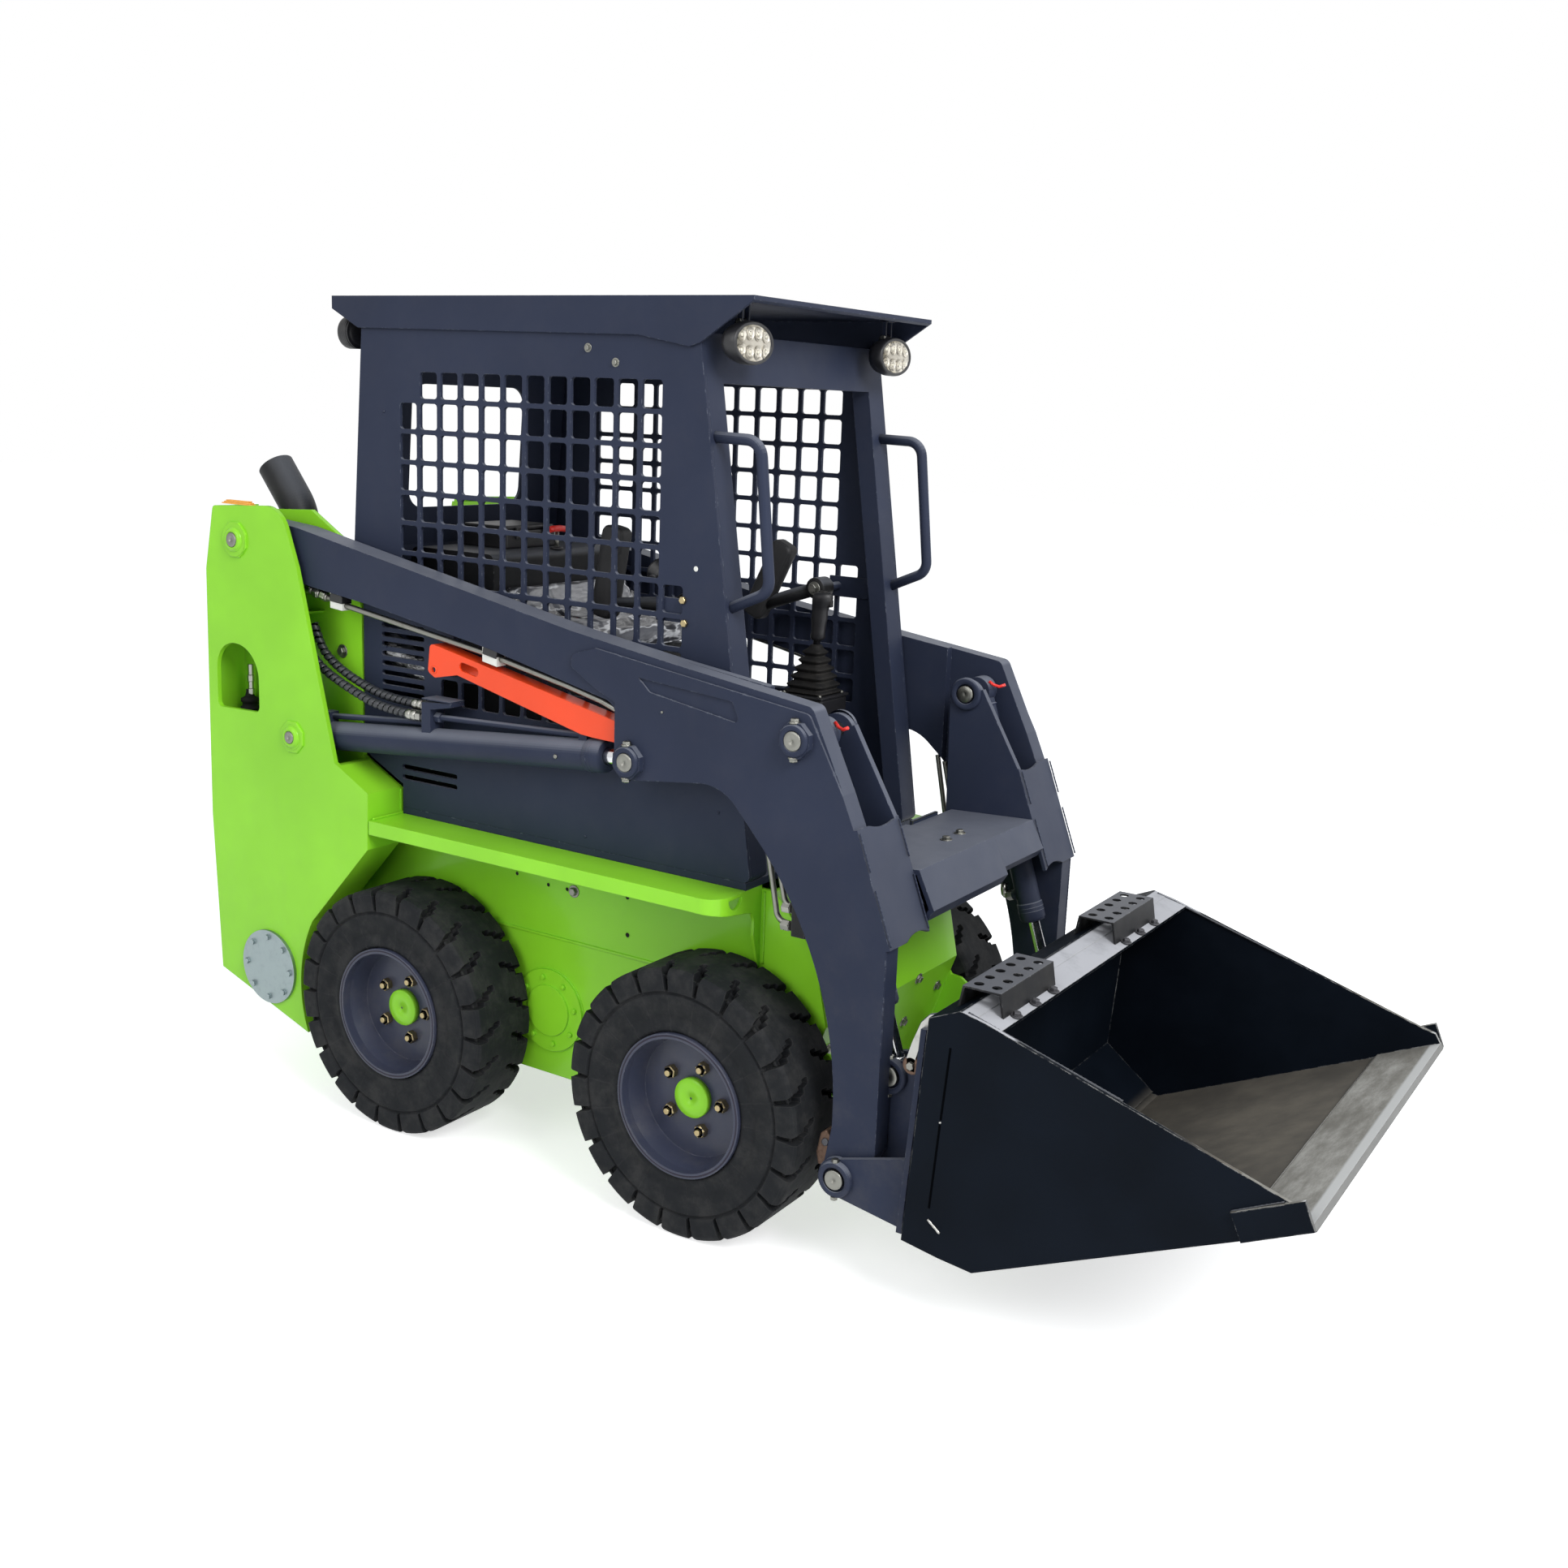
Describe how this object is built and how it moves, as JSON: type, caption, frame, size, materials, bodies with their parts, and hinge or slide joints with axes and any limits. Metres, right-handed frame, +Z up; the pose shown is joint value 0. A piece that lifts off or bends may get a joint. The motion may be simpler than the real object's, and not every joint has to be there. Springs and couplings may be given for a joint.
{
  "type": "skid steer loader",
  "caption": "Compact skid steer loader with grid-sided cab, twin lift arms, lift and tilt cylinders, lugged tyres and a front bucket.",
  "frame": {"origin": "on the ground under the middle of the machine's bounding box", "axes": "+X forward towards the bucket, +Y to the machine's left, +Z up"},
  "size_m": [2.838, 1.016, 1.961],
  "materials": {
    "green_paint": "gloss",
    "slate_paint": "satin",
    "orange_paint": "gloss",
    "black_paint": "satin",
    "tread_rubber": "matte",
    "soft_rubber": "matte",
    "steel": "satin",
    "chrome": "polished",
    "cover_steel": "satin",
    "black_plastic": "matte",
    "lamp": "gloss",
    "iron": "rough",
    "seat_cover": "satin",
    "white_plastic": "satin"
  },
  "bodies": {
    "chassis": {"axle_housings": "iron", "cab_floor": "slate_paint", "cab_rear": "slate_paint", "cab_side_left": "slate_paint", "cab_side_right": "slate_paint", "chassis_tub": "green_paint", "deck_left": "green_paint", "deck_right": "green_paint", "drive_covers": "green_paint", "engine_block": "iron", "engine_hood": "slate_paint", "exhaust_pipe": "black_paint", "front_frame": "slate_paint", "front_lamps": "lamp", "grab_handles": "slate_paint", "joysticks": "soft_rubber", "lap_bar_brackets": "slate_paint", "rear_console": "black_plastic", "rear_frame": "green_paint", "rear_lamps": "black_plastic", "roof": "slate_paint", "seat": "seat_cover", "seat_base": "black_paint", "tailgate_hinges": "steel", "tower_covers": "cover_steel", "tower_left": "green_paint", "tower_pins": "steel", "tower_right": "green_paint"},
    "lift_arm": {"lift_arm_right": "slate_paint", "lift_arm_left": "slate_paint", "crossbeam": "slate_paint", "aux_couplings": "steel", "arm_pins": "steel", "arm_strut": "orange_paint", "arm_pipes": "steel", "pipe_clamps": "white_plastic"},
    "bucket": {"coupler": "slate_paint", "coupler_pins": "steel", "bucket": "black_paint", "bucket_steps": "black_paint"},
    "lift_barrels": {"lift_barrels": "slate_paint", "lift_hoses": "soft_rubber"},
    "lift_rods": {"lift_rods": "chrome"},
    "tilt_barrels": {"tilt_barrels": "slate_paint"},
    "tilt_rods": {"tilt_rods": "chrome"},
    "tailgate": {"tailgate": "green_paint"},
    "lap_bar_right": {"lap_bar_right": "soft_rubber"},
    "lap_bar_left": {"lap_bar_left": "soft_rubber"},
    "wheel_front_right": {"tyre_front_right": "tread_rubber", "rim_front_right": "slate_paint"},
    "wheel_front_left": {"tyre_front_left": "tread_rubber", "rim_front_left": "slate_paint"},
    "wheel_rear_right": {"tyre_rear_right": "tread_rubber", "rim_rear_right": "slate_paint"},
    "wheel_rear_left": {"tyre_rear_left": "tread_rubber", "rim_rear_left": "slate_paint"}
  },
  "joints": [
    {"name": "arm_lift", "type": "hinge", "parent": "chassis", "child": "lift_arm", "pos_m": [-1.303, 0, 1.378], "axis": [0, -1, 0], "range_deg": [0, 65]},
    {"name": "bucket_tilt", "type": "hinge", "parent": "lift_arm", "child": "bucket", "pos_m": [0.468, 0, 0.234], "axis": [0, 1, 0], "range_deg": [0, 65]},
    {"name": "lift_barrel_swing", "type": "hinge", "parent": "chassis", "child": "lift_barrels", "pos_m": [-1.111, 0, 0.915], "axis": [0, -1, 0], "range_deg": [0, 59.91]},
    {"name": "lift_rod_slide", "type": "slide", "parent": "lift_barrels", "child": "lift_rods", "axis": [0.9962, 0, 0.0868], "range_m": [0, 0.5271]},
    {"name": "tilt_barrel_swing", "type": "hinge", "parent": "lift_arm", "child": "tilt_barrels", "pos_m": [0.325, 0, 1.109], "axis": [0, -1, 0], "range_deg": [0, 5.33]},
    {"name": "tilt_rod_slide", "type": "slide", "parent": "tilt_barrels", "child": "tilt_rods", "axis": [0.3128, 0, -0.9498], "range_m": [0, 0.2345]},
    {"name": "tailgate_swing", "type": "hinge", "parent": "chassis", "child": "tailgate", "pos_m": [-1.408, 0.338, 0.65], "axis": [0, 0, -1], "range_deg": [0, 105]},
    {"name": "lap_bar_right_lift", "type": "hinge", "parent": "chassis", "child": "lap_bar_right", "pos_m": [-0.076, -0.262, 1.322], "axis": [0, 1, 0], "range_deg": [0, 60]},
    {"name": "lap_bar_left_lift", "type": "hinge", "parent": "chassis", "child": "lap_bar_left", "pos_m": [-0.076, 0.262, 1.322], "axis": [0, 1, 0], "range_deg": [0, 60]},
    {"name": "wheel_front_right_spin", "type": "hinge", "parent": "chassis", "child": "wheel_front_right", "pos_m": [0.092, 0, 0.297], "axis": [0, 1, 0], "continuous": true},
    {"name": "wheel_front_left_spin", "type": "hinge", "parent": "chassis", "child": "wheel_front_left", "pos_m": [0.092, 0, 0.297], "axis": [0, 1, 0], "continuous": true},
    {"name": "wheel_rear_right_spin", "type": "hinge", "parent": "chassis", "child": "wheel_rear_right", "pos_m": [-0.768, 0, 0.297], "axis": [0, 1, 0], "continuous": true},
    {"name": "wheel_rear_left_spin", "type": "hinge", "parent": "chassis", "child": "wheel_rear_left", "pos_m": [-0.768, 0, 0.297], "axis": [0, 1, 0], "continuous": true}
  ],
  "couplings": [
    {"joint": "lift_barrel_swing", "follows": "arm_lift", "ratio": 0.9209},
    {"joint": "lift_rod_slide", "follows": "arm_lift", "m_per_rad": 0.46419},
    {"joint": "tilt_barrel_swing", "follows": "bucket_tilt", "ratio": 0.08123},
    {"joint": "tilt_rod_slide", "follows": "bucket_tilt", "m_per_rad": 0.20623}
  ]
}
